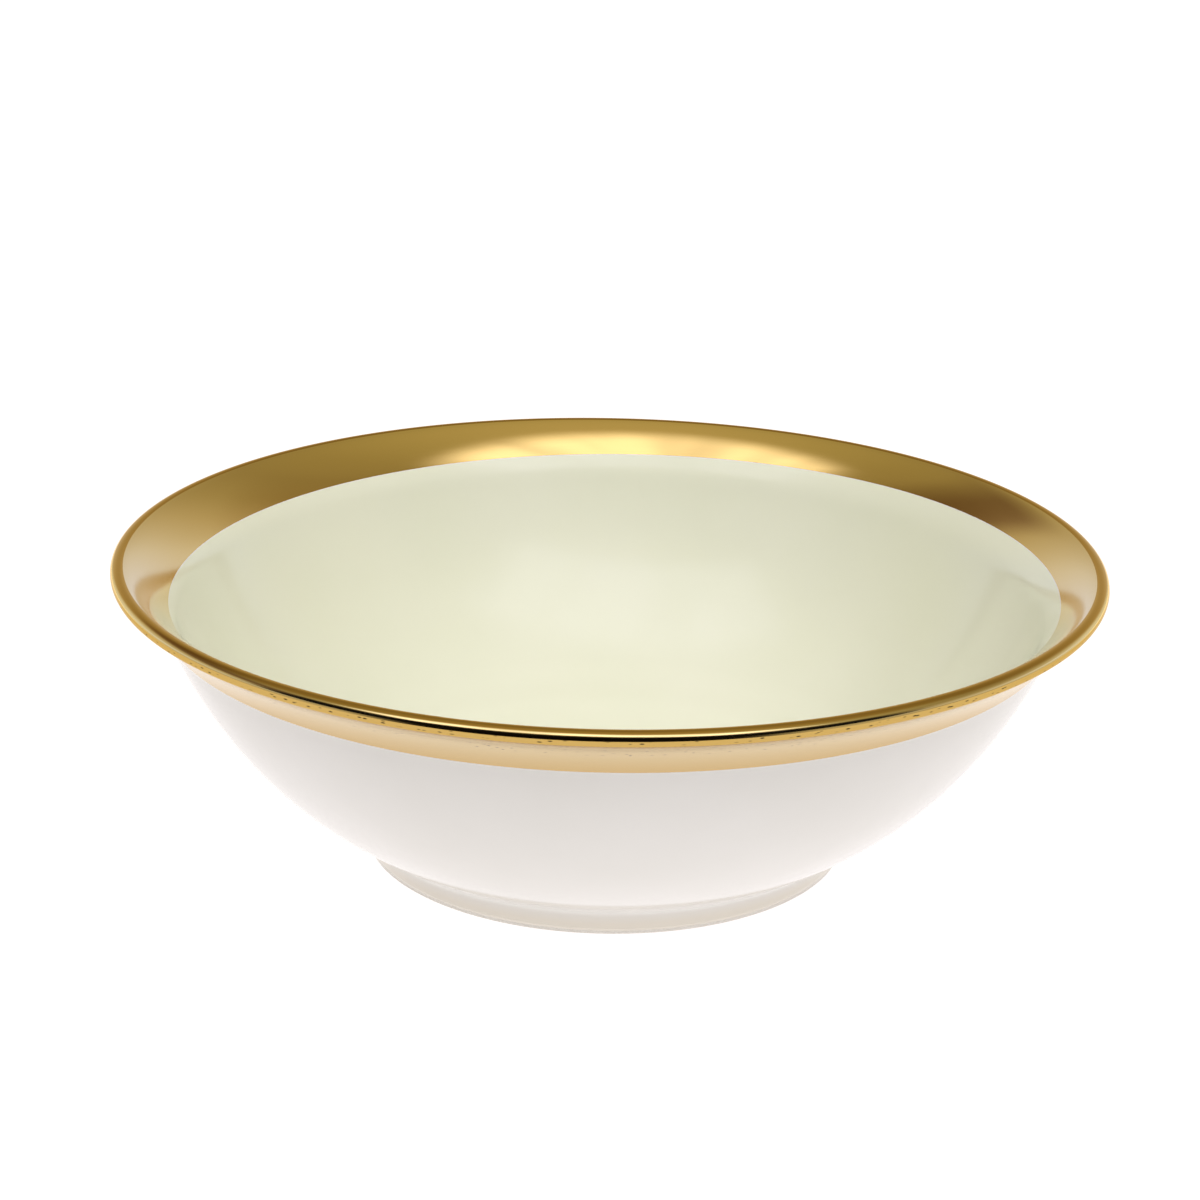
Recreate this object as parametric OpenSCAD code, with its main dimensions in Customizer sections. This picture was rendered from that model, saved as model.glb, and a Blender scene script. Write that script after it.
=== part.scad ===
// Porcelain serving bowl with an everted rim, an ivory lining and gold banding.
// Origin: centre of the foot's bearing face, on the table. +Z is up.
//
// Clay, glaze and gold are fired layers. Each one is the space between two parallels
// of the same meridian, so neighbouring layers meet face to face and never overlap.

/* [Bowl] */
// Diameter over the gold lip
bowl_d = 230; // [200:1:250]
// Height from the table to the top of the lip
bowl_h = 71.4; // [66:0.2:78]
// Thickness of the fired clay at the neck, under the rim
rim_wall = 2.6; // [2.2:0.1:3]
// Thickness of the fired clay low on the wall
foot_wall = 3.8; // [3.2:0.1:4.4]
// Thickness of the fired clay at the centre of the floor
floor_wall = 3.6; // [3:0.1:4.4]

/* [Wall] */
// How far the lip stands out beyond the neck
flare_w = 11.7; // [10:0.1:14]
// Height of the flare, from the neck to the top of the lip
flare_h = 14; // [12:0.5:16]
// Slope of the wall at the neck, in degrees
neck_slope = 67; // [62:1:72]
// Slope of the wall where it leaves the foot, in degrees
belly_slope = 29.5; // [27:0.5:33]
// Slope of the flare under the lip, in degrees
lip_slope = 25; // [20:1:32]
// Radius of the lip's outer edge; its top is rounder
lip_edge = 0.9; // [0.7:0.1:1.1]

/* [Foot] */
// Outer radius of the foot ring at the table
foot_r = 56.5; // [52:0.5:58]
// Height of the foot ring
foot_h = 5.2; // [5:0.1:5.6]
// Width of the foot ring at its top
foot_w = 7.2; // [6.6:0.2:8]
// Width of the bare bearing face
bearing_w = 2.6; // [2.2:0.1:3]
// How far up from the table the glaze is wiped off the foot
bare_h = 1.1; // [1:0.1:1.4]

/* [Decoration] */
// Thickness of each glaze coat
glaze = 0.3; // [0.2:0.05:0.35]
// Thickness of the gold
gold = 0.2; // [0.15:0.05:0.25]
// Where the outer gold band starts, as a share of the way from neck to lip
outer_band_from = 0.1; // [0.04:0.02:0.3]
// Where the inner gold band starts, as a share of the way from neck to lip
inner_band_from = 0.3; // [0.26:0.02:0.6]
// White hairline between the ivory ground and the gold, in the same share
hairline = 0.05; // [0.03:0.01:0.08]

/* [Hidden] */
$fn = 180;

LONG_STEPS = 14;
ARC_STEPS = 8;
SHORT_STEPS = 6;

function polar(a) = [cos(a), sin(a)];
function angle(v) = atan2(v.y, v.x);

// Open air is on the right of the meridian as it runs: out from the centre of the base,
// down inside the foot, up the outside, over the lip and in to the centre of the floor.
function right_of(v) = [v.y, -v.x];

// A cubic curve, from its ends, the slope at each and the share of the span that each pulls.
function curve(p, slope_p, pull_p, q, slope_q, pull_q) =
    let (span = norm(q - p))
    [p, p + span * pull_p * polar(slope_p), q - span * pull_q * polar(slope_q), q];

function point(c, t) =
    let (s = 1 - t)
    s * s * s * c[0] + 3 * s * s * t * c[1] + 3 * s * t * t * c[2] + t * t * t * c[3];

function heading(c, t) =
    let (s = 1 - t, v = s * s * (c[1] - c[0]) + 2 * s * t * (c[2] - c[1]) + t * t * (c[3] - c[2]))
    v / norm(v);

// A station is a point of the clay's face with its outward normal.
function station(c, t) = [point(c, t), right_of(heading(c, t))];
function shares(from, to, steps) = [for (i = [0:steps]) from + (to - from) * i / steps];
function stations(c, from, to, steps) = [for (t = shares(from, to, steps)) station(c, t)];
function arc(c, r, from, to) = [for (a = shares(from, to, ARC_STEPS)) [c + r * polar(a), polar(a)]];
function straight(p, q) = [for (end = [p, q]) [end, right_of((q - p) / norm(q - p))]];

// The inner face's curves run upwards too, so their normals are turned to face the open air.
function inner_stations(c, from, to, steps) = [for (s = stations(c, from, to, steps)) [s[0], -s[1]]];

// The station on the far face of a wall of thickness w.
function through(s, w) = [s[0] - w * s[1], -s[1]];

// Thickness of the clay along the belly: it thins from the foot up to the neck.
function wall_at(t) = rim_wall + (foot_wall - rim_wall) * (1 - t) * (1 - t);

// Foot: the ring tapers towards the table and its bottom edges are eased.
foot_lean = 1.6;
ease = 0.5;
well_arch = 0.5;
foot_top = [foot_r + foot_lean, foot_h];
foot_bare = [foot_r + foot_lean * bare_h / foot_h, bare_h];
bearing_out = [foot_r - ease, 0];
bearing_in = bearing_out - [bearing_w, 0];
inner_bare = bearing_in + [-ease, bare_h];
well_corner = foot_top - [foot_w, 0];
pool = 1.4;

// Wall: a concave fillet off the foot, the belly, then the flare.
fillet_slope = 74;
belly_start = foot_top + [2.7, 2.8];
neck = [bowl_d / 2 - flare_w, bowl_h - flare_h] - glaze * right_of(polar(neck_slope));
fillet = curve(foot_top, fillet_slope, 0.34, belly_start, belly_slope, 0.34);
belly = curve(belly_start, belly_slope, 0.38, neck, neck_slope, 0.3);

// Lip: a tight outer edge that turns at edge_end into a rounder top. The top's radius
// is the one that makes the lip as thick as the wall at the neck.
edge_end = 55;
top_turn = lip_slope + 90 - edge_end;
lip_top = (rim_wall - lip_edge * (1 + cos(top_turn))) / (1 - cos(top_turn));
edge_to_top = (lip_edge - lip_top) * polar(edge_end);
edge_c = [bowl_d / 2 - lip_edge, bowl_h - lip_top - edge_to_top.y] - (glaze + gold) * [1, 1];
top_c = edge_c + edge_to_top;

// Flare: its inner face is a curve of its own, from the lip's top down to the neck.
flare_pull = 0.26;
lip_start = edge_c + lip_edge * polar(lip_slope - 90);
lip_end = top_c + lip_top * polar(lip_slope + 90);
inner_neck = neck - rim_wall * right_of(polar(neck_slope));
flare = curve(neck, neck_slope, flare_pull, lip_start, lip_slope, flare_pull);
flare_in = curve(inner_neck, neck_slope, flare_pull, lip_end, lip_slope, flare_pull);

// Floor: it leaves the inner face low on the belly and is level at the centre.
floor_from = 0.2;
floor_h = foot_h + well_arch + floor_wall;
floor_edge = through(station(belly, floor_from), wall_at(floor_from))[0];
floor_slope = angle(-heading(belly, floor_from));
floor_line = curve(floor_edge, floor_slope, 0.17, [0, floor_h], 180, 0.6);

// The meridian, stretch by stretch.
well = [
    for (u = shares(0, 1, SHORT_STEPS)) [[well_corner.x * u, foot_h + well_arch * cos(90 * u)], [0, -1]]
];
foot_inside = straight(well_corner, inner_bare);
foot_outside = straight(foot_bare, foot_top);
foot_fillet = stations(fillet, 0, 1, SHORT_STEPS);
belly_outside = stations(belly, 0, 1, LONG_STEPS);
neck_outside = stations(flare, 0, outer_band_from, 1);
flare_outside = stations(flare, outer_band_from, 1, LONG_STEPS);
edge_round = arc(edge_c, lip_edge, lip_slope - 90, edge_end);
top_round = arc(top_c, lip_top, edge_end, lip_slope + 90);
flare_inside = inner_stations(flare_in, 1, inner_band_from, LONG_STEPS);
hairline_inside = inner_stations(flare_in, inner_band_from, inner_band_from - hairline, 1);
neck_inside = inner_stations(flare_in, inner_band_from - hairline, 0, SHORT_STEPS);
belly_inside = [
    for (t = shares(1, floor_from, LONG_STEPS)) through(station(belly, t), wall_at(t))
];
floor_inside = stations(floor_line, 0, 1, LONG_STEPS);

// Joins stretches. Each one starts at the station where the last one ends, kept only once.
function join(parts) = [
    for (i = [0:len(parts) - 1]) for (j = [min(i, 1):len(parts[i]) - 1]) parts[i][j]
];
function reversed(list) = [for (i = [len(list) - 1:-1:0]) list[i]];

// The points that lie at height d above the clay.
function face(path, d) = [for (s = path) s[0] + d * s[1]];

module turned(outline) {
    rotate_extrude()
        polygon(outline);
}

// A coat that lies from height d0 to height d1 above the clay.
module coat(path, d0, d1) {
    turned(concat(face(path, d0), reversed(face(path, d1))));
}

module porcelain_body() {
    clay = join([
        foot_fillet, belly_outside, neck_outside, flare_outside, edge_round, top_round,
        flare_inside, hairline_inside, neck_inside, belly_inside, floor_inside
    ]);
    color("white")
        turned(concat(face(clay, 0), face(well, 0)));
}

module foot_ring() {
    outer_ease = curve(bearing_out, 0, 0.5, foot_bare, angle(foot_top - foot_bare), 0.5);
    inner_ease = curve(inner_bare, angle(inner_bare - well_corner), 0.5, bearing_in, 0, 0.5);
    color("snow")
        turned(concat(
            [well_corner],
            face(stations(inner_ease, 0, 1, SHORT_STEPS), 0),
            face(stations(outer_ease, 0, 1, SHORT_STEPS), 0),
            [foot_top]
        ));
}

module white_glaze() {
    color("whitesmoke")
        coat(join([
            foot_outside, foot_fillet, belly_outside, neck_outside, flare_outside,
            edge_round, top_round, flare_inside, hairline_inside
        ]), 0, glaze);
}

// Glaze over the well under the base and down the inside of the foot. It pools in the corner.
module base_glaze() {
    down = (inner_bare - well_corner) / norm(inner_bare - well_corner);
    pool_start = well_corner + [-pool, -glaze];
    pool_end = well_corner + pool * down + glaze * right_of(down);
    fillet_line = curve(pool_start, 0, 0.4, pool_end, angle(down), 0.4);
    open_well = [for (i = [0:SHORT_STEPS - 1]) well[i]];
    color("whitesmoke")
        turned(concat(
            face(join([well, foot_inside]), 0),
            [inner_bare + glaze * right_of(down)],
            reversed(face(stations(fillet_line, 0, 1, SHORT_STEPS), 0)),
            reversed(face(open_well, glaze))
        ));
}

module ivory_lining() {
    color("beige")
        coat(join([neck_inside, belly_inside, floor_inside]), 0, glaze);
}

module inner_gold_band() {
    color("goldenrod")
        coat(flare_inside, glaze, glaze + gold);
}

module lip_gold() {
    color("darkgoldenrod")
        coat(join([edge_round, top_round]), glaze, glaze + gold);
}

module outer_gold_band() {
    color("goldenrod")
        coat(flare_outside, glaze, glaze + gold);
}

porcelain_body();
foot_ring();
white_glaze();
base_glaze();
ivory_lining();
inner_gold_band();
lip_gold();
outer_gold_band();
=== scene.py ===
"""Looks for a gilded porcelain serving bowl: clay, glaze and gold, one fired layer over the other."""

import bisect
import math

import bpy
from mathutils import Matrix, Vector


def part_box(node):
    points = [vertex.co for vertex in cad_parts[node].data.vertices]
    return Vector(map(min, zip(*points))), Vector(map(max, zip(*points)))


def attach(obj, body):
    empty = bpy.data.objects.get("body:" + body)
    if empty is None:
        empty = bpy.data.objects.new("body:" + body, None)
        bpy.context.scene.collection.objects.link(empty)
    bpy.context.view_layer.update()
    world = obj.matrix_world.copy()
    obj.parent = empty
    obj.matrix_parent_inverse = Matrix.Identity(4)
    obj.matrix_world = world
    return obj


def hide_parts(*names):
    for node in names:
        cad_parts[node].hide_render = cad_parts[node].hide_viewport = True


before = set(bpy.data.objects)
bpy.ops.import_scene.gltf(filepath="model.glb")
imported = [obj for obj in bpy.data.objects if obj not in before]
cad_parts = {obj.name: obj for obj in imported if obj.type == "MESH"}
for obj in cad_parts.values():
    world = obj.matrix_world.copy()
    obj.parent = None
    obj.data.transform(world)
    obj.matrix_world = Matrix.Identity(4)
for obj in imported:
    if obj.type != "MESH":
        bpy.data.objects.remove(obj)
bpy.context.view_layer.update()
MM = 0.001

# ------------------------------------------------------------------ measures, in metres
# The frame gives the sizes of the bowl and of its coats.
lip_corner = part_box("lip_gold")[1]
clay_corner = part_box("porcelain_body")[1]
glaze_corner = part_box("white_glaze")[1]
foot_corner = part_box("foot_ring")[1]
RIM = lip_corner.x
HEIGHT = lip_corner.z
GLAZE = glaze_corner.x - clay_corner.x
GOLD = lip_corner.x - glaze_corner.x
FOOT_TOP = Vector((foot_corner.x, foot_corner.z))
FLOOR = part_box("ivory_lining")[0].z

# The section's own curves, as a turner's template has them. Slopes are in degrees, and a pull is
# how far a curve follows the slope at one end, as a share of its span.
FLARE_WIDTH = 11.7 * MM
FLARE_HEIGHT = 14 * MM
FLARE_PULL = 0.26
NECK_SLOPE = 67
BELLY_SLOPE = 29.5
BELLY_PULL_LOW = 0.38
BELLY_PULL_HIGH = 0.3
LIP_SLOPE = 25
LIP_EDGE = 1.15 * MM
LIP_EDGE_END = 55
FILLET_SLOPE = 74
FILLET_SPAN = Vector((2.7, 2.8)) * MM
FILLET_PULL = 0.34
FLOOR_PULL_EDGE = 0.17
FLOOR_PULL_MIDDLE = 0.6
RIM_WALL = 2.6 * MM
FOOT_WALL = 3.8 * MM

# The foot ring and the glazed well inside it
FOOT_LEAN = 1.6 * MM
FOOT_WIDTH = 7.2 * MM
BEARING_WIDTH = 2.6 * MM
BARE_HEIGHT = 1.1 * MM
EASE = 0.5 * MM
EASE_PULL = 0.5
WELL_ARCH = 0.5 * MM
WELL_POOL = 1.4 * MM
POOL_PULL = 0.4
BASE_EDGE_BACK = 0.5 * MM
BASE_EDGE_TIP = 0.1 * MM

# Where the coats start and end, as shares of the belly or of the flare
FLOOR_FROM = 0.2
OUTER_BAND_FROM = 0.1
INNER_BAND_FROM = 0.3
HAIRLINE = 0.015

# The edges of the coats
GLAZE_ROLL = 0.6 * MM
GLAZE_THIN_EDGE = 0.1
GOLD_EDGE = 0.03 * MM

# The inner band was painted a little off centre: its edge runs this far up the wall and back down.
BAND_LIFT = 0.6 * MM
BAND_SWAY = 2.1 * MM
BAND_TOWARD = math.radians(30)
BAND_EASE = 10 * MM

# Steps of a full turn, and of a stretch of the section
AROUND = 256
FINE = 40
MEDIUM = 20
COARSE = 8
MERGE = 0.002 * MM
CREASE = math.radians(35)

# Where a face is covered by a coat, one station in this many is enough.
CLAY_EVERY = 2
HIDDEN_EVERY = 4


# ------------------------------------------------------------------ the section
def polar(degrees):
    """The unit vector at an angle above the outward direction."""
    a = math.radians(degrees)
    return Vector((math.cos(a), math.sin(a)))


def right_of(v):
    """The direction a quarter turn clockwise, which is the outer side of a path that goes up."""
    return Vector((v.y, -v.x))


def cubic(p, slope_p, pull_p, q, slope_q, pull_q):
    """A curve from its ends, the slope at each and the share of the span that each pulls."""
    span = (q - p).length
    return p, p + span * pull_p * polar(slope_p), q - span * pull_q * polar(slope_q), q


def station(curve, t):
    """A point of the curve and the normal on its right."""
    p, a, b, q = curve
    s = 1 - t
    point = s ** 3 * p + 3 * s * s * t * a + 3 * s * t * t * b + t ** 3 * q
    heading = s * s * (a - p) + 2 * s * t * (b - a) + t * t * (q - b)
    return point, right_of(heading.normalized())


def shares(start, end, steps):
    """Even steps from start to end, both ends in."""
    return [start + (end - start) * i / steps for i in range(steps + 1)]


def run(curve, start, end, steps):
    """Stations along a stretch of a curve."""
    return [station(curve, t) for t in shares(start, end, steps)]


def inner_run(curve, start, end, steps):
    """The same for a curve of the inner face, where open air is on the other side."""
    return [(p, -n) for p, n in run(curve, start, end, steps)]


def arc(centre, radius, start, end, steps):
    """Stations along a round stretch, from one angle to the other."""
    return [(centre + radius * polar(a), polar(a)) for a in shares(start, end, steps)]


def straight(p, q, steps):
    """Stations along a straight stretch."""
    n = right_of((q - p).normalized())
    return [(p.lerp(q, t), n) for t in shares(0, 1, steps)]


def join(*stretches):
    """One path out of stretches that each start where the last one ends."""
    path = list(stretches[0])
    for stretch in stretches[1:]:
        path += stretch[1:]
    return path


def through(s, wall):
    """The station on the other face of a wall."""
    return s[0] - wall * s[1], -s[1]


def wall_at(t):
    """Thickness of the clay along the belly, from the foot at 0 to the neck at 1."""
    return RIM_WALL + (FOOT_WALL - RIM_WALL) * (1 - t) ** 2


# Foot
foot_r = FOOT_TOP.x - FOOT_LEAN
foot_bare = Vector((foot_r + FOOT_LEAN * BARE_HEIGHT / FOOT_TOP.y, BARE_HEIGHT))
bearing_out = Vector((foot_r - EASE, 0))
bearing_in = bearing_out - Vector((BEARING_WIDTH, 0))
inner_bare = bearing_in + Vector((-EASE, BARE_HEIGHT))
well_corner = FOOT_TOP - Vector((FOOT_WIDTH, 0))

# Wall
belly_start = FOOT_TOP + FILLET_SPAN
neck = Vector((RIM - FLARE_WIDTH, HEIGHT - FLARE_HEIGHT)) - GLAZE * right_of(polar(NECK_SLOPE))
fillet = cubic(FOOT_TOP, FILLET_SLOPE, FILLET_PULL, belly_start, BELLY_SLOPE, FILLET_PULL)
belly = cubic(belly_start, BELLY_SLOPE, BELLY_PULL_LOW, neck, NECK_SLOPE, BELLY_PULL_HIGH)

# Lip: a tight outer edge that turns into a rounder top
top_turn = math.radians(LIP_SLOPE + 90 - LIP_EDGE_END)
lip_top = (RIM_WALL - LIP_EDGE * (1 + math.cos(top_turn))) / (1 - math.cos(top_turn))
edge_to_top = (LIP_EDGE - lip_top) * polar(LIP_EDGE_END)
edge_centre = Vector((RIM - LIP_EDGE, HEIGHT - lip_top - edge_to_top.y)) - (GLAZE + GOLD) * Vector((1, 1))
top_centre = edge_centre + edge_to_top
lip_start = edge_centre + LIP_EDGE * polar(LIP_SLOPE - 90)
lip_end = top_centre + lip_top * polar(LIP_SLOPE + 90)

# Flare, outside and inside
flare = cubic(neck, NECK_SLOPE, FLARE_PULL, lip_start, LIP_SLOPE, FLARE_PULL)
inner_neck = neck - RIM_WALL * right_of(polar(NECK_SLOPE))
flare_in = cubic(inner_neck, NECK_SLOPE, FLARE_PULL, lip_end, LIP_SLOPE, FLARE_PULL)

# Floor
floor_edge, floor_normal = through(station(belly, FLOOR_FROM), wall_at(FLOOR_FROM))
floor_slope = math.degrees(math.atan2(floor_normal.x, -floor_normal.y))
floor_middle = Vector((0, FLOOR))
floor_line = cubic(floor_edge, floor_slope, FLOOR_PULL_EDGE, floor_middle, 180, FLOOR_PULL_MIDDLE)

# The meridian, stretch by stretch: out under the base, up the outside, over the lip and in
well = [
    (Vector((well_corner.x * u, FOOT_TOP.y + WELL_ARCH * math.cos(u * math.pi / 2))), Vector((0, -1)))
    for u in shares(0, 1, MEDIUM)
]
foot_inside = straight(well_corner, inner_bare, COARSE)
foot_outside = straight(foot_bare, FOOT_TOP, COARSE)
foot_fillet = run(fillet, 0, 1, COARSE)
belly_outside = run(belly, 0, 1, FINE)
neck_outside = run(flare, 0, OUTER_BAND_FROM, COARSE)
flare_outside = run(flare, OUTER_BAND_FROM, 1, FINE)
lip_round = join(
    arc(edge_centre, LIP_EDGE, LIP_SLOPE - 90, LIP_EDGE_END, MEDIUM),
    arc(top_centre, lip_top, LIP_EDGE_END, LIP_SLOPE + 90, MEDIUM),
)
flare_inside = inner_run(flare_in, 1, INNER_BAND_FROM, FINE)
hairline_inside = inner_run(flare_in, INNER_BAND_FROM, INNER_BAND_FROM - HAIRLINE, COARSE)
neck_inside = inner_run(flare_in, INNER_BAND_FROM - HAIRLINE, 0, COARSE)
belly_inside = [through(station(belly, t), wall_at(t)) for t in shares(1, FLOOR_FROM, FINE)]
floor_inside = run(floor_line, 0, 1, FINE)


# ------------------------------------------------------------------ turning a piece
def face(path, height):
    """The points that lie above the clay by height, which is a number or one for each station."""
    heights = height if isinstance(height, list) else [height] * len(path)
    return [p + h * n for (p, n), h in zip(path, heights)]


def roll_in(path, thickness, length):
    """Heights of a coat whose start rounds up from a thin edge over a length."""
    heights = []
    along = 0.0
    previous = path[0][0]
    for point, _ in path:
        along += (point - previous).length
        previous = point
        share = min(1, along / length)
        round_up = math.sqrt(1 - (1 - share) ** 2)
        heights.append(thickness * (GLAZE_THIN_EDGE + (1 - GLAZE_THIN_EDGE) * round_up))
    return heights


def taper(start, end, count):
    """Heights that change evenly from one to the other along count points."""
    return shares(start, end, count - 1)


def coat(path, base, heights):
    """A coat's outline: its hidden side, with fewer points, and its side to the air."""
    hidden = path[::HIDDEN_EVERY] + ([path[-1]] if (len(path) - 1) % HIDDEN_EVERY else [])
    under = face(hidden, base)
    return under + face(path, heights)[::-1] + under[:1]


def turn(name, outline):
    """Draws an outline point by point, spins it round the bowl's axis and closes the skin."""
    bpy.ops.object.select_all(action="DESELECT")
    first = outline[0]
    bpy.ops.mesh.primitive_plane_add(size=MM, location=(first.x, 0, first.y))
    piece = bpy.context.object
    piece.name = name
    piece.data.name = name
    bpy.ops.object.transform_apply(location=True, rotation=True, scale=True)
    bpy.ops.object.mode_set(mode="EDIT")
    bpy.ops.mesh.merge(type="CENTER")
    for p, q in zip(outline, outline[1:]):
        bpy.ops.mesh.extrude_vertices_move(TRANSFORM_OT_translate={"value": (q.x - p.x, 0, q.y - p.y)})
    bpy.ops.mesh.select_all(action="SELECT")
    bpy.ops.mesh.spin(steps=AROUND, angle=math.tau, center=(0, 0, 0), axis=(0, 0, 1))
    bpy.ops.mesh.select_all(action="SELECT")
    bpy.ops.mesh.remove_doubles(threshold=MERGE)
    bpy.ops.mesh.normals_make_consistent(inside=False)
    bpy.ops.object.mode_set(mode="OBJECT")
    bpy.ops.object.shade_smooth_by_angle(angle=CREASE)
    return piece


def turn_clay_body():
    """The jiggered clay, from the well under the base to the middle of the floor inside."""
    clay = join(foot_fillet, belly_outside, neck_outside, flare_outside, lip_round, flare_inside,
                hairline_inside, neck_inside, belly_inside, floor_inside)
    outline = face(clay[::CLAY_EVERY], 0)
    return turn("clay_body", face(well, 0) + outline + [floor_inside[-1][0]])


def turn_foot_ring():
    """The foot, with both edges of its bearing face eased on the wheel."""
    lean = math.degrees(math.atan2(FOOT_TOP.y - foot_bare.y, FOOT_TOP.x - foot_bare.x))
    inner_lean = math.degrees(math.atan2(inner_bare.y - well_corner.y, inner_bare.x - well_corner.x))
    outer_ease = cubic(bearing_out, 0, EASE_PULL, foot_bare, lean, EASE_PULL)
    inner_ease = cubic(inner_bare, inner_lean, EASE_PULL, bearing_in, 0, EASE_PULL)
    outline = [well_corner] + face(run(inner_ease, 0, 1, COARSE), 0) + face(run(outer_ease, 0, 1, COARSE), 0)
    return turn("foot_ring_biscuit", outline + [FOOT_TOP, well_corner])


def turn_white_glaze():
    """The clear coat outside, from just above the bearing face to the edge of the gold inside."""
    path = join(foot_outside, foot_fillet, belly_outside, neck_outside, flare_outside, lip_round,
                flare_inside, hairline_inside)
    return turn("outside_glaze", coat(path, 0, roll_in(path, GLAZE, GLAZE_ROLL)))


def turn_base_glaze():
    """The clear coat under the base, which pools in the corner of the well."""
    down = (inner_bare - well_corner).normalized()
    pool_start = well_corner + Vector((-WELL_POOL, -GLAZE))
    pool_end = well_corner + WELL_POOL * down + GLAZE * right_of(down)
    slope = math.degrees(math.atan2(down.y, down.x))
    pool = cubic(pool_start, 0, POOL_PULL, pool_end, slope, POOL_PULL)
    open_well = [s for s in well if s[0].x < pool_start.x]
    under = face(join(well, foot_inside), 0)
    roll_end = inner_bare + GLAZE / 2 * right_of(down) - BASE_EDGE_TIP * down
    air = face(open_well, GLAZE) + face(run(pool, 0, 1, COARSE), 0)
    air += [inner_bare + GLAZE * right_of(down) - BASE_EDGE_BACK * down, roll_end]
    return turn("base_glaze_coat", under + air[::-1])


def turn_ivory_lining():
    """The ivory coat inside, below the gold."""
    path = join(neck_inside, belly_inside, floor_inside)
    under = face(path[::HIDDEN_EVERY] + [path[-1]], 0)
    return turn("ivory_lining_glaze", under[::-1] + face(path, GLAZE))


def turn_inner_gold():
    """The wide band inside the rim, thinner towards its lower edge."""
    heights = taper(GLAZE + GOLD, GLAZE + GOLD_EDGE, len(flare_inside))
    return turn("inner_gold", coat(flare_inside, GLAZE, heights))


def turn_lip_gold():
    """The gold over the lip, at its full thickness."""
    return turn("lip_line_gold", coat(lip_round, GLAZE, GLAZE + GOLD))


def turn_outer_gold():
    """The band under the lip, thinner towards its lower edge."""
    heights = taper(GLAZE + GOLD_EDGE, GLAZE + GOLD, len(flare_outside))
    return turn("outer_gold", coat(flare_outside, GLAZE, heights))


# ------------------------------------------------------------------ the off-centre edge of the gold
inside = join(flare_inside, hairline_inside, neck_inside, belly_inside)
inside_lengths = [0.0]
for (p, _), (q, _) in zip(inside, inside[1:]):
    inside_lengths.append(inside_lengths[-1] + (q - p).length)
EDGE_UPPER = inside_lengths[len(flare_inside) - 1]
EDGE_LOWER = inside_lengths[len(flare_inside) + len(hairline_inside) - 2]


def inside_at(length):
    """A point of the clay's inner face and its normal, by its distance below the lip."""
    k = min(max(bisect.bisect(inside_lengths, length) - 1, 0), len(inside) - 2)
    t = (length - inside_lengths[k]) / (inside_lengths[k + 1] - inside_lengths[k])
    p, n = inside[k]
    q, m = inside[k + 1]
    return p.lerp(q, t), n.lerp(m, t).normalized()


def place_inside(point):
    """The distance below the lip of the nearest place on the inner face, and the height over it."""
    best = None
    for k in range(len(inside) - 1):
        p = inside[k][0]
        q = inside[k + 1][0]
        t = min(max((point - p).dot(q - p) / (q - p).length_squared, 0), 1)
        gap = (point - p.lerp(q, t)).length
        if best is None or gap < best[0]:
            length = inside_lengths[k] + t * (q - p).length
            best = (gap, length, (point - p.lerp(q, t)).dot(inside[k][1]))
    return best[1], best[2]


def ease(x):
    """A smooth step from 0 to 1."""
    x = min(max(x, 0), 1)
    return x * x * (3 - 2 * x)


def slide_edge(piece):
    """Slides a coat along the inner wall, so that its painted edge runs off centre and stays on it.

    No operator slides along a curved wall, so each point is moved by its distance below the lip.
    """
    near_wall = 2 * (GLAZE + GOLD)
    known = {}
    for vertex in piece.data.vertices:
        x, y, z = vertex.co
        r = math.hypot(x, y)
        key = (round(r / MERGE), round(z / MERGE))
        if key not in known:
            known[key] = place_inside(Vector((r, z)))
        length, height = known[key]
        if abs(height) > near_wall:
            continue
        outside_edge = max(EDGE_UPPER - length, length - EDGE_LOWER, 0)
        share = ease(1 - outside_edge / BAND_EASE)
        lift = BAND_LIFT + BAND_SWAY * math.cos(math.atan2(y, x) - BAND_TOWARD)
        if share > 0:
            p, n = inside_at(length - share * lift)
            moved = p + height * n
            vertex.co = (x * moved.x / r, y * moved.x / r, moved.y)
    piece.data.update()


# ------------------------------------------------------------------ finishes
GLAZE_IOR = 1.5

# Sizes of the patterns. The clay's own grain is too fine to show, so it is drawn coarser.
GLAZE_CLOUD = 40 * MM
GLAZE_DIMPLE = 5.56 * MM
IVORY_CLOUD = 55.6 * MM
IVORY_DIMPLE = 6.25 * MM
DIMPLE_DEPTH = 0.1 * MM
CLAY_GRAIN = 0.4 * MM
BRUSH_LENGTH = 20 * MM
BRUSH_WIDTH = 0.25 * MM
BRUSH_DEPTH = 0.02 * MM
SPECKS_AROUND = 0.45 / MM
SPECKS_UP = 1.5 / MM
SPECK_FADE = 0.1 * MM

# Painted warm shade near the foot: the glaze is warmer below this height, and fully so below the next
FOOT_SHADE_TOP = 6.5 * MM
FOOT_SHADE_FULL = 3 * MM


def colour(code):
    """An sRGB hex colour as the linear values that the shader takes."""
    channels = [int(code[i:i + 2], 16) / 255 for i in (1, 3, 5)]
    return tuple(c / 12.92 if c <= 0.04045 else ((c + 0.055) / 1.055) ** 2.4 for c in channels) + (1.0,)


def add(tree, kind, inputs=None, stops=(), **settings):
    """Adds a node with its settings and a ramp's stops; an input is a value or another node's output."""
    node = tree.nodes.new("ShaderNode" + kind)
    for name, value in settings.items():
        setattr(node, name, value)
    for name, value in (inputs or {}).items():
        if isinstance(value, bpy.types.NodeSocket):
            tree.links.new(value, node.inputs[name])
        else:
            node.inputs[name].default_value = value
    if stops:
        elements = node.color_ramp.elements
        while len(elements) < len(stops):
            elements.new(0.5)
        for element, (position, shade) in zip(elements, stops):
            element.position = position
            element.color = shade
    return node


def new_finish(name):
    """A material with an empty node tree, and that tree."""
    finish = bpy.data.materials.new(name)
    finish.use_nodes = True
    finish.node_tree.nodes.clear()
    return finish, finish.node_tree


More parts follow.
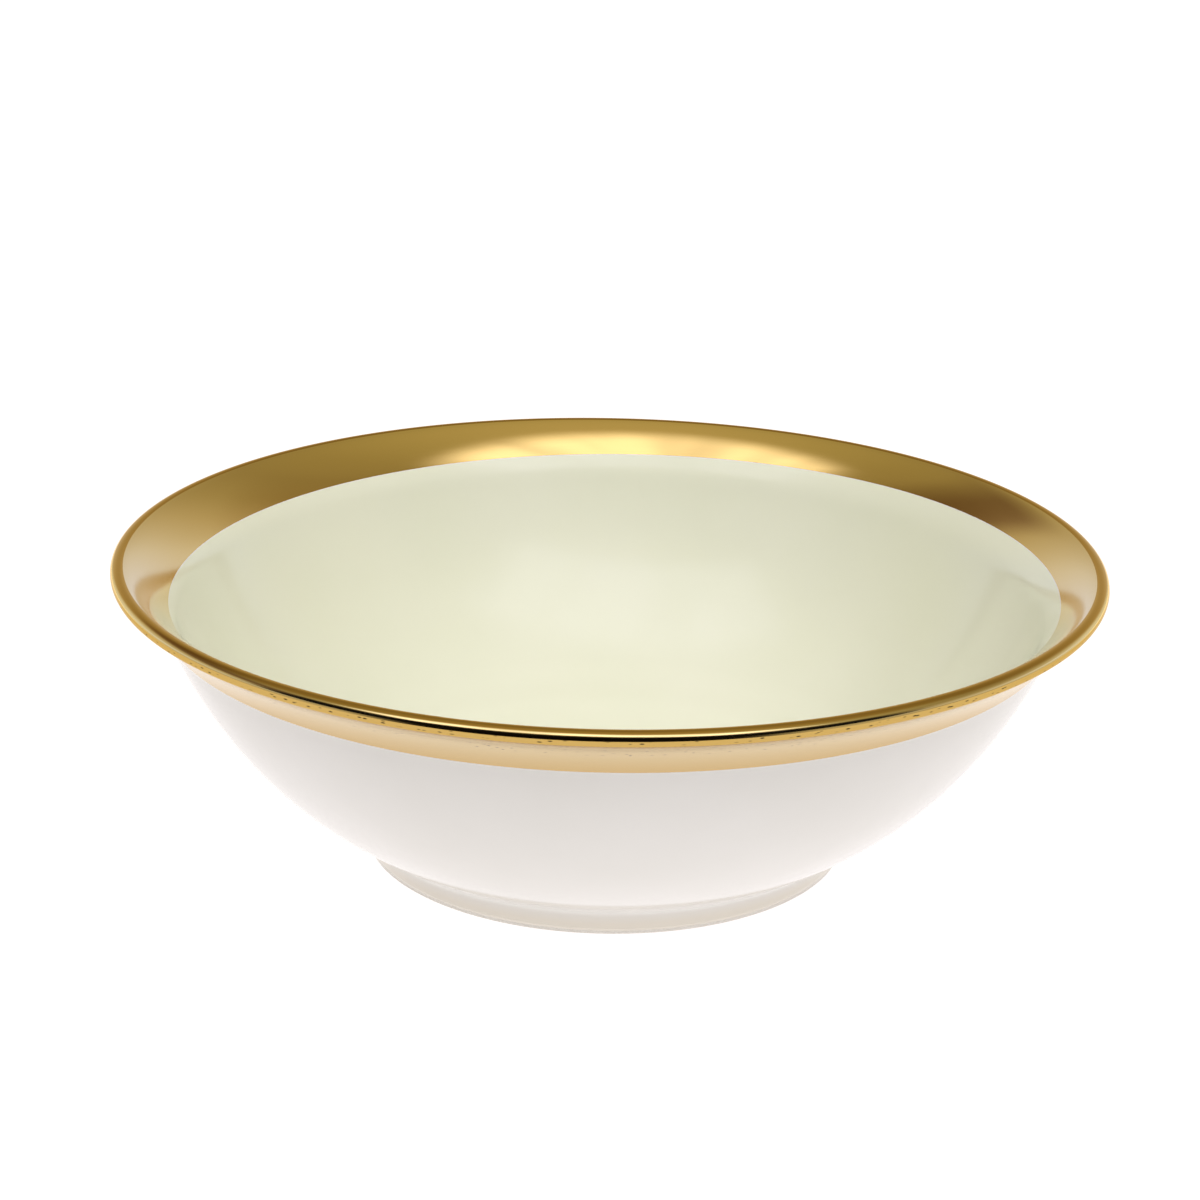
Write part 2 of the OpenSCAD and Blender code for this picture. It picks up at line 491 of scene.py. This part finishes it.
def white_glaze_finish():
    """Clear glaze over white clay: wet gloss in soft clouds, and a painted darker, warmer shade near the
    foot.
    """
    finish, tree = new_finish("clear_glaze_over_white_porcelain")
    place = add(tree, "TexCoord").outputs["Object"]
    cloud = add(tree, "TexNoise", {"Vector": place, "Scale": 1 / GLAZE_CLOUD, "Detail": 3.0})
    tint = add(tree, "ValToRGB", {"Fac": cloud.outputs["Fac"]},
               stops=[(0.3, colour("#E7E5DF")), (0.7, colour("#EBE9E4"))])
    axes = add(tree, "SeparateXYZ", {"Vector": place})
    # Painted shade: near the foot the glaze is mixed towards a darker, warmer colour, for the shade where the
    # belly meets the foot
    pool = add(tree, "MapRange", {"Value": axes.outputs["Z"], "From Min": FOOT_SHADE_TOP, "From Max": FOOT_SHADE_FULL})
    foot_shaded = add(tree, "Mix", {
        0: pool.outputs["Result"], 6: tint.outputs["Color"], 7: colour("#E7E0D2"),
    }, data_type="RGBA")
    ripple = add(tree, "TexNoise", {"Vector": place, "Scale": 1 / GLAZE_DIMPLE, "Detail": 2.0})
    dimple = add(tree, "Bump", {"Height": ripple.outputs["Fac"], "Strength": 0.05, "Distance": DIMPLE_DEPTH})
    skin = add(tree, "BsdfPrincipled", {
        "Base Color": foot_shaded.outputs[2], "Roughness": 0.1, "IOR": GLAZE_IOR,
        "Normal": dimple.outputs["Normal"],
    })
    add(tree, "OutputMaterial", {"Surface": skin.outputs["BSDF"]})
    return finish


def ivory_glaze_finish():
    """Ivory ground under clear glaze: warm, even, and glossy with the faintest ripple."""
    finish, tree = new_finish("ivory_ground_glaze")
    place = add(tree, "TexCoord").outputs["Object"]
    cloud = add(tree, "TexNoise", {"Vector": place, "Scale": 1 / IVORY_CLOUD, "Detail": 3.0})
    tint = add(tree, "ValToRGB", {"Fac": cloud.outputs["Fac"]},
               stops=[(0.3, colour("#E3E5D0")), (0.7, colour("#E7E8D6"))])
    ripple = add(tree, "TexNoise", {"Vector": place, "Scale": 1 / IVORY_DIMPLE, "Detail": 2.0})
    dimple = add(tree, "Bump", {"Height": ripple.outputs["Fac"], "Strength": 0.05, "Distance": DIMPLE_DEPTH})
    skin = add(tree, "BsdfPrincipled", {
        "Base Color": tint.outputs["Color"], "Roughness": 0.12, "IOR": GLAZE_IOR,
        "Normal": dimple.outputs["Normal"],
    })
    add(tree, "OutputMaterial", {"Surface": skin.outputs["BSDF"]})
    return finish


def gold_finish(name, tones, gloss, flux, graze, rubbed=None):
    """Bright gold fired on the glaze: a mirror with faint brush marks. Its colour by height is partly paler
    thin gold and partly painted highlight and painted shade.

    tones are colours by their distance in millimetres below the top of the lip, the lowest first.
    gloss is the lowest roughness, flux the weight of the glassy skin that firing leaves, and graze
    the tint that the metal keeps at a grazing angle. rubbed says where stacking has worn specks:
    the lowest and highest place in millimetres below the top, and their size as a share of the
    space between them.
    """
    finish, tree = new_finish(name)
    place = add(tree, "TexCoord").outputs["Object"]
    axes = add(tree, "SeparateXYZ", {"Vector": place})
    low = HEIGHT - tones[0][0] * MM
    high = HEIGHT - tones[-1][0] * MM
    height = add(tree, "MapRange", {"Value": axes.outputs["Z"], "From Min": low, "From Max": high})
    stops = [((HEIGHT - below * MM - low) / (high - low), colour(shade)) for below, shade in tones]
    tint = add(tree, "ValToRGB", {"Fac": height.outputs["Result"]}, stops=stops)
    marks = add(tree, "Mapping", {
        "Vector": place, "Scale": (1 / BRUSH_LENGTH, 1 / BRUSH_LENGTH, 1 / BRUSH_WIDTH),
    })
    brushed = add(tree, "TexNoise", {"Vector": marks.outputs["Vector"], "Scale": 1.0, "Detail": 2.0})
    rough = add(tree, "MapRange", {"Value": brushed.outputs["Fac"], "To Min": gloss, "To Max": gloss + 0.06})
    relief = add(tree, "Bump", {"Height": brushed.outputs["Fac"], "Strength": 0.04, "Distance": BRUSH_DEPTH})
    metal = tint.outputs["Color"]
    if rubbed:
        bottom, top, size = rubbed
        spread = add(tree, "Mapping", {"Vector": place, "Scale": (SPECKS_AROUND, SPECKS_AROUND, SPECKS_UP)})
        dots = add(tree, "TexVoronoi", {"Vector": spread.outputs["Vector"], "Scale": 1.0})
        share = add(tree, "MapRange", {
            "Value": dots.outputs["Distance"], "From Min": size, "From Max": size / 2,
        }).outputs["Result"]
        for edge, inward in ((HEIGHT - bottom * MM, SPECK_FADE), (HEIGHT - top * MM, -SPECK_FADE)):
            row = add(tree, "MapRange", {
                "Value": axes.outputs["Z"], "From Min": edge, "From Max": edge + inward,
            })
            rows = add(tree, "Math", {0: share, 1: row.outputs["Result"]}, operation="MULTIPLY")
            share = rows.outputs["Value"]
        metal = add(tree, "Mix", {0: share, 6: metal, 7: colour("#2E2218")}, data_type="RGBA").outputs[2]
    skin = add(tree, "BsdfPrincipled", {
        "Base Color": metal, "Roughness": rough.outputs["Result"], "Metallic": 1.0,
        "Specular Tint": (*graze, 1), "Coat Weight": flux, "Coat Roughness": 0.12,
        "Normal": relief.outputs["Normal"],
    })
    add(tree, "OutputMaterial", {"Surface": skin.outputs["BSDF"]})
    return finish


def biscuit_finish():
    """Unglazed fired clay, polished on the wheel: matt, dense and very finely grained."""
    finish, tree = new_finish("polished_biscuit_porcelain")
    place = add(tree, "TexCoord").outputs["Object"]
    grain = add(tree, "TexNoise", {"Vector": place, "Scale": 1 / CLAY_GRAIN, "Detail": 4.0})
    tint = add(tree, "ValToRGB", {"Fac": grain.outputs["Fac"]},
               stops=[(0.3, colour("#DDD7CC")), (0.7, colour("#ECE8E0"))])
    skin = add(tree, "BsdfPrincipled", {
        "Base Color": tint.outputs["Color"], "Roughness": 0.6, "IOR": GLAZE_IOR,
    })
    add(tree, "OutputMaterial", {"Surface": skin.outputs["BSDF"]})
    return finish


biscuit = biscuit_finish()
white_glaze = white_glaze_finish()
thick_gold = gold_finish(
    "bright_fired_gold", [(11.4, "#F4D081"), (0.4, "#F9D685")],
    gloss=0.10, flux=0.5, graze=(1, 1, 1),
)
# The lip's tones hold a painted highlight, brightest from 1.0 to 0.6 mm below the top where the mirrored
# highlight line lies, and a painted darker reflection over the top
lip_gold = gold_finish(
    "bright_fired_gold_of_the_lip",
    [
        (2.8, "#C8A862"), (1.3, "#C8A65C"), (1.0, "#FFE8A8"), (0.6, "#FFE4A0"), (0.3, "#D4A858"),
        (0, "#D0A458"),
    ],
    gloss=0.10, flux=0.0, graze=(0.9, 0.78, 0.55), rubbed=(2.6, 1.7, 0.28),
)
# The band under the lip is thin gold, and its dull, pale colour and its tones by height are also painted
# shade: they stand for the shaded table under the bowl and the bowl's own belly that the band mirrors
thin_gold_with_painted_shade = gold_finish(
    "thin_fired_gold_with_painted_shade", [(12.9, "#C7AB78"), (7.4, "#CDB78A"), (4.2, "#CFB684"), (2.6, "#CFAC68")],
    gloss=0.18, flux=0.35, graze=(1, 0.96, 0.88), rubbed=(7.4, 2.8, 0.16),
)

# How each piece is turned, the CAD node that it stands for, its slot and its finish
pieces = [
    (turn_clay_body, "porcelain_body", "porcelain", biscuit),
    (turn_foot_ring, "foot_ring", "bare_porcelain", biscuit),
    (turn_white_glaze, "white_glaze", "white_glaze", white_glaze),
    (turn_base_glaze, "base_glaze", "white_glaze", white_glaze),
    (turn_ivory_lining, "ivory_lining", "ivory_glaze", ivory_glaze_finish()),
    (turn_inner_gold, "inner_gold_band", "gold", thick_gold),
    (turn_lip_gold, "lip_gold", "gold", lip_gold),
    (turn_outer_gold, "outer_gold_band", "gold", thin_gold_with_painted_shade),
]
MEET_AT_THE_BAND = ("white_glaze", "ivory_lining", "inner_gold_band")

for make, node, slot, finish in pieces:
    piece = make()
    if node in MEET_AT_THE_BAND:
        slide_edge(piece)
    piece.data.materials.append(finish)
    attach(piece, "root")
    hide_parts(node)

# ------------------------------------------------------------------ table and lamps
TABLE_WIDTH = 4
TABLE_FRONT = 0.31
TABLE_BACK = 2.5

bpy.ops.object.select_all(action="DESELECT")
bpy.ops.mesh.primitive_plane_add(size=1, location=(0, (TABLE_BACK - TABLE_FRONT) / 2, 0))
table = bpy.context.object
table.name = "table"
table.scale = (TABLE_WIDTH, TABLE_BACK + TABLE_FRONT, 1)
bpy.ops.object.transform_apply(location=True, rotation=True, scale=True)

# It is white and glows evenly, so that shadows on it stay faint.
white, tree = new_finish("white_table")
lit = add(tree, "BsdfPrincipled", {
    "Base Color": (0.15, 0.15, 0.15, 1), "Roughness": 0.9, "Emission Color": (1.0, 0.96, 0.957, 1),
    "Emission Strength": 0.985,
})
add(tree, "OutputMaterial", {"Surface": lit.outputs["BSDF"]})
table.data.materials.append(white)


def fill_light(name, place, size, radiance):
    """A large soft lamp that lights the bowl and isn't seen mirrored in it."""
    light = bpy.data.lights.new(name, "AREA")
    light.size = size
    light.energy = radiance * math.pi * size * size
    lamp = bpy.data.objects.new(name, light)
    bpy.context.scene.collection.objects.link(lamp)
    lamp.location = place
    lamp.rotation_euler = (-Vector(place)).to_track_quat("-Z", "Y").to_euler()
    lamp.visible_camera = False
    lamp.visible_glossy = False


fill_light("overhead_fill", (0.1, -0.1, 1.6), size=2.2, radiance=1.0)
fill_light("front_fill", (0.1, -1.5, 1.4), size=1.6, radiance=1.95)

# ------------------------------------------------------------------ the room that the gold mirrors
# Directions are unit vectors, so a height in this section goes from 0, level, to 1, straight up.
# The room is pale near the table, warm and dim higher up, and a little lighter overhead.
ROOM = [
    (0.0, (0.74, 0.77, 0.92, 1)), (0.2, (0.67, 0.68, 0.74, 1)), (0.3, (0.58, 0.56, 0.53, 1)),
    (0.42, (0.48, 0.44, 0.34, 1)), (0.55, (0.36, 0.32, 0.20, 1)), (0.68, (0.29, 0.25, 0.14, 1)),
    (0.80, (0.32, 0.28, 0.15, 1)), (0.9, (0.38, 0.34, 0.19, 1)), (1.0, (0.46, 0.41, 0.25, 1)),
]

# Where the dark corner of the room lies, at the left behind the bowl
CORNER_TOWARD = (-0.9, 0.43, 0)

# The dark half of the room, behind the camera. Its edges are the cosine of the angle from its
# middle, at two heights. Past the edge it deepens over a soft stretch, and it fades out at its top.
DARK_MIDDLE = (-0.105, -0.9945, 0)
DARK_HEIGHTS = (0.12, 0.28)
DARK_EDGES = (0.59, 0.07)
DARK_SOFT = 0.25
DARK_TOP = (0.76, 0.64)
DARK = (0.004, 0.003, 0.003, 1)

# The softbox overhead is a flat sheet, measured across and along at a height of 1, and turned a
# little. Each edge has its axis, and where the light starts and is full. Its cloth hangs in folds.
# Directions lower than the lowest count as that low, so that the measure stays finite.
SOFTBOX_TURN = math.radians(11)
SOFTBOX_EDGES = (("X", -0.85, -0.60), ("X", 0.85, 0.62), ("Y", -0.88, -0.70), ("Y", -0.03, -0.30))
FOLDS = (7, 0.8, 1)
CLOTH = [(0.38, (1.0, 0.96, 1.02, 1)), (0.58, (1.52, 1.48, 1.60, 1))]
LOWEST = 0.05

# What the camera itself sees past the table
BACKDROP = (1.05, 1.05, 1.05, 1)

world = bpy.data.worlds.new("studio")
bpy.context.scene.world = world
world.use_nodes = True
sky = world.node_tree
sky.nodes.clear()
direction = add(sky, "TexCoord").outputs["Generated"]
axes = add(sky, "SeparateXYZ", {"Vector": direction})
x, y, z = (axes.outputs[k] for k in "XYZ")
level = add(sky, "VectorMath", {0: direction, 1: (1, 1, 0)}, operation="MULTIPLY")
compass = add(sky, "VectorMath", {0: level.outputs["Vector"]}, operation="NORMALIZE").outputs["Vector"]
seen_light = add(sky, "ValToRGB", {"Fac": z}, stops=ROOM).outputs["Color"]

# Darker furniture on both sides, and a dark corner at the left. Each has its direction, where its
# shade starts and is full across, at its foot and at its head, and what it leaves of the light.
sideways = add(sky, "SeparateXYZ", {"Vector": compass})
flank = add(sky, "Math", {0: sideways.outputs["X"]}, operation="ABSOLUTE")
corner = add(sky, "VectorMath", {0: compass, 1: CORNER_TOWARD}, operation="DOT_PRODUCT")
furniture = (
    (flank.outputs["Value"], (0.70, 0.95), (0.14, 0.30), (0.72, 0.56), (0.78, 0.72, 0.62, 1)),
    (corner.outputs["Value"], (0.70, 0.88), (0.40, 0.50), (0.74, 0.62), (0.50, 0.40, 0.42, 1)),
)
for side, reach, foot, head, left in furniture:
    cover = 1.0
    for value, (start, full) in ((side, reach), (z, foot), (z, head)):
        soft = add(sky, "MapRange", {"Value": value, "From Min": start, "From Max": full})
        cover = add(sky, "Math", {0: soft.outputs["Result"], 1: cover}, operation="MULTIPLY").outputs["Value"]
    seen_light = add(sky, "Mix", {0: cover, 6: seen_light, 7: left}, data_type="RGBA",
                     blend_type="MULTIPLY").outputs[2]

# The dark half of the room, over the walls
toward = add(sky, "VectorMath", {0: compass, 1: DARK_MIDDLE}, operation="DOT_PRODUCT")
dark_edge = add(sky, "MapRange", {
    "Value": z, "From Min": DARK_HEIGHTS[0], "From Max": DARK_HEIGHTS[1],
    "To Min": DARK_EDGES[0], "To Max": DARK_EDGES[1],
})
past = add(sky, "Math", {0: toward.outputs["Value"], 1: dark_edge.outputs["Result"]}, operation="SUBTRACT")
inside_dark = add(sky, "MapRange", {"Value": past.outputs["Value"], "From Min": 0.0, "From Max": DARK_SOFT},
                  interpolation_type="SMOOTHSTEP")
below_top = add(sky, "MapRange", {"Value": z, "From Min": DARK_TOP[0], "From Max": DARK_TOP[1]})
dark = add(sky, "Math", {
    0: inside_dark.outputs["Result"], 1: below_top.outputs["Result"],
}, operation="MULTIPLY")
seen_light = add(sky, "Mix", {0: dark.outputs["Value"], 6: seen_light, 7: DARK}, data_type="RGBA").outputs[2]

# The softbox overhead, between the bowl and the camera
rise_z = add(sky, "Math", {0: z, 1: LOWEST}, operation="MAXIMUM")
across = add(sky, "Math", {0: x, 1: rise_z.outputs["Value"]}, operation="DIVIDE")
along = add(sky, "Math", {0: y, 1: rise_z.outputs["Value"]}, operation="DIVIDE")
ceiling = add(sky, "CombineXYZ", {"X": across.outputs["Value"], "Y": along.outputs["Value"]})
turned = add(sky, "Mapping", {"Vector": ceiling.outputs["Vector"], "Rotation": (0, 0, SOFTBOX_TURN)})
spots = add(sky, "SeparateXYZ", {"Vector": turned.outputs["Vector"]})
softbox = 1.0
for axis, start, full in SOFTBOX_EDGES:
    soft = add(sky, "MapRange", {"Value": spots.outputs[axis], "From Min": start, "From Max": full},
               interpolation_type="SMOOTHSTEP")
    softbox = add(sky, "Math", {0: soft.outputs["Result"], 1: softbox}, operation="MULTIPLY").outputs["Value"]
folds = add(sky, "Mapping", {"Vector": turned.outputs["Vector"], "Scale": FOLDS})
cloth = add(sky, "TexNoise", {"Vector": folds.outputs["Vector"], "Scale": 1.0, "Detail": 2.0})
lit_cloth = add(sky, "ValToRGB", {"Fac": cloth.outputs["Fac"]}, stops=CLOTH).outputs["Color"]
seen_light = add(sky, "Mix", {0: softbox, 6: seen_light, 7: lit_cloth}, data_type="RGBA").outputs[2]

# Mirrors and other rays meet the room, and the camera's own rays meet the backdrop.
glow = add(sky, "Background", {"Color": seen_light, "Strength": 1.0})
plain = add(sky, "Background", {"Color": BACKDROP, "Strength": 1.0})
ray = add(sky, "LightPath")
seen = add(sky, "MixShader", {
    0: ray.outputs["Is Camera Ray"], 1: glow.outputs["Background"], 2: plain.outputs["Background"],
})
add(sky, "OutputWorld", {"Surface": seen.outputs["Shader"]})

# ------------------------------------------------------------------ camera
CAMERA_RISE = math.radians(19.213)
CAMERA_ROLL = math.radians(1.08)
CAMERA_AWAY = 0.7
AIM = Vector((-0.00216, 0, 0.0591))
FOCAL_LENGTH = 89.76
SENSOR_WIDTH = 36
lens = bpy.data.cameras.new("camera")
lens.lens = FOCAL_LENGTH
lens.sensor_width = SENSOR_WIDTH
camera = bpy.data.objects.new("camera", lens)
bpy.context.scene.collection.objects.link(camera)
camera.matrix_world = (
    Matrix.Translation(AIM + CAMERA_AWAY * Vector((0, -math.cos(CAMERA_RISE), math.sin(CAMERA_RISE))))
    @ Matrix.Rotation(math.pi / 2 - CAMERA_RISE, 4, "X")
    @ Matrix.Rotation(CAMERA_ROLL, 4, "Z")
)
bpy.context.scene.camera = camera
bpy.context.scene.view_settings.view_transform = "Standard"
